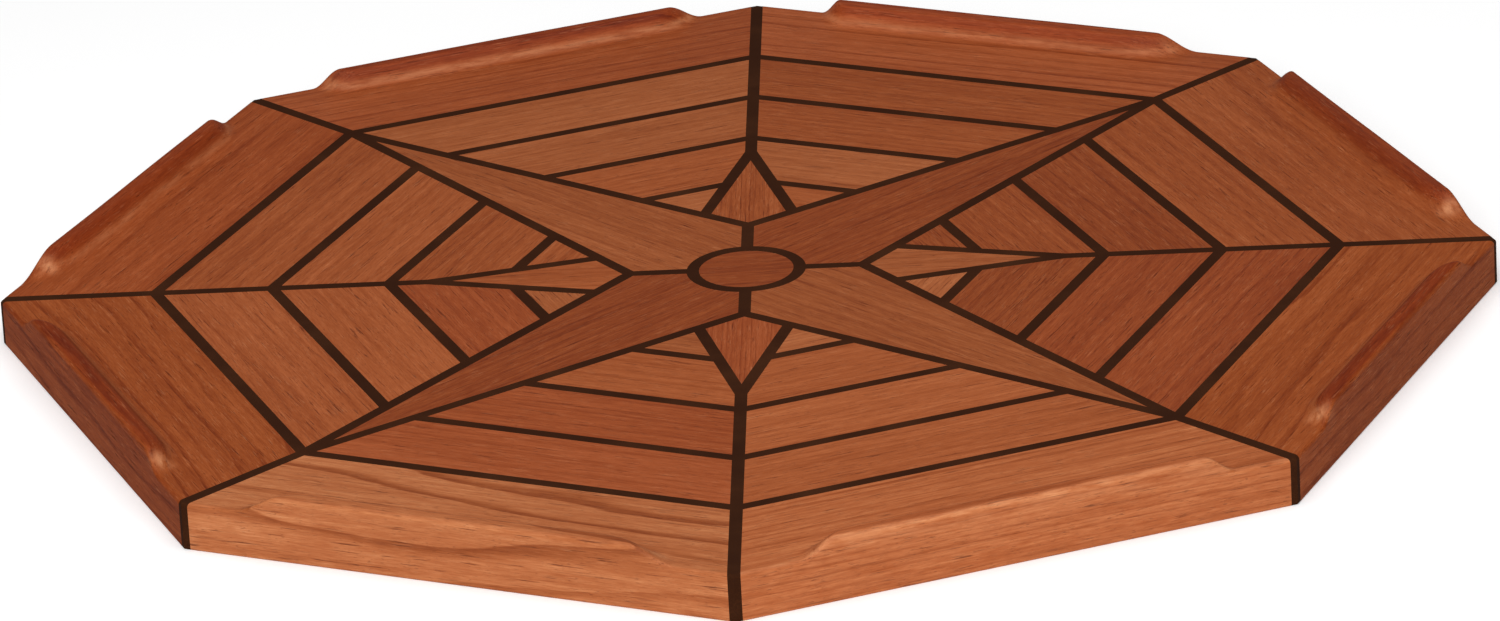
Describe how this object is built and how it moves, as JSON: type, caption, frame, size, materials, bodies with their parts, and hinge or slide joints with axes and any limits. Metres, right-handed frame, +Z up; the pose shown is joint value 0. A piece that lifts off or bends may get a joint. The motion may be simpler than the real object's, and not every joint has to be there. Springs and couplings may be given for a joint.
{
  "type": "octagonal inlaid table top",
  "caption": "Octagonal teak boat-style table top with an inlaid compass rose, dark caulked seams and a raised fiddle rail along each side, on a plywood backing panel.",
  "frame": {"origin": "centre of the underside", "axes": "+Z up through the top face, +X towards one corner of the octagon, on the axis of a minor point of the rose, +Y towards the corner 90 degrees round from it"},
  "size_m": [0.7328, 0.7328, 0.032],
  "materials": {
    "teak_rail": "teak, sanded and oiled, satin",
    "teak_plank": "teak, sanded and oiled, satin",
    "teak_dark": "darker red-brown teak, sanded and oiled, satin",
    "teak_light": "lighter orange-brown teak, sanded and oiled, satin",
    "caulk": "dark brown-black deck caulk, sanded flush, matt",
    "plywood": "marine plywood, varnished underside",
    "spline_wood": "plywood tongue, unfinished and hidden",
    "screw_steel": "stainless steel wood screw"
  },
  "bodies": {
    "root": {"rail_ene": "teak_rail", "rail_nne": "teak_rail", "rail_nnw": "teak_rail", "rail_wnw": "teak_rail", "rail_wsw": "teak_rail", "rail_ssw": "teak_rail", "rail_sse": "teak_rail", "rail_ese": "teak_rail", "outer_plank_ene": "teak_plank", "outer_plank_nne": "teak_plank", "outer_plank_nnw": "teak_plank", "outer_plank_wnw": "teak_plank", "outer_plank_wsw": "teak_plank", "outer_plank_ssw": "teak_plank", "outer_plank_sse": "teak_plank", "outer_plank_ese": "teak_plank", "middle_plank_ene": "teak_plank", "middle_plank_nne": "teak_plank", "middle_plank_nnw": "teak_plank", "middle_plank_wnw": "teak_plank", "middle_plank_wsw": "teak_plank", "middle_plank_ssw": "teak_plank", "middle_plank_sse": "teak_plank", "middle_plank_ese": "teak_plank", "inner_plank_ene": "teak_plank", "inner_plank_nne": "teak_plank", "inner_plank_nnw": "teak_plank", "inner_plank_wnw": "teak_plank", "inner_plank_wsw": "teak_plank", "inner_plank_ssw": "teak_plank", "inner_plank_sse": "teak_plank", "inner_plank_ese": "teak_plank", "filler_ene": "teak_plank", "filler_nne": "teak_plank", "filler_nnw": "teak_plank", "filler_wnw": "teak_plank", "filler_wsw": "teak_plank", "filler_ssw": "teak_plank", "filler_sse": "teak_plank", "filler_ese": "teak_plank", "major_point_ne": "teak_dark", "major_point_nw": "teak_light", "major_point_sw": "teak_dark", "major_point_se": "teak_light", "minor_point_e": "teak_light", "minor_point_n": "teak_dark", "minor_point_w": "teak_light", "minor_point_s": "teak_dark", "centre_disc": "teak_dark", "field_caulk": "caulk", "mitre_caulk": "caulk", "backing_panel": "plywood", "mitre_splines": "spline_wood", "panel_screws": "screw_steel"}
  },
  "joints": []
}
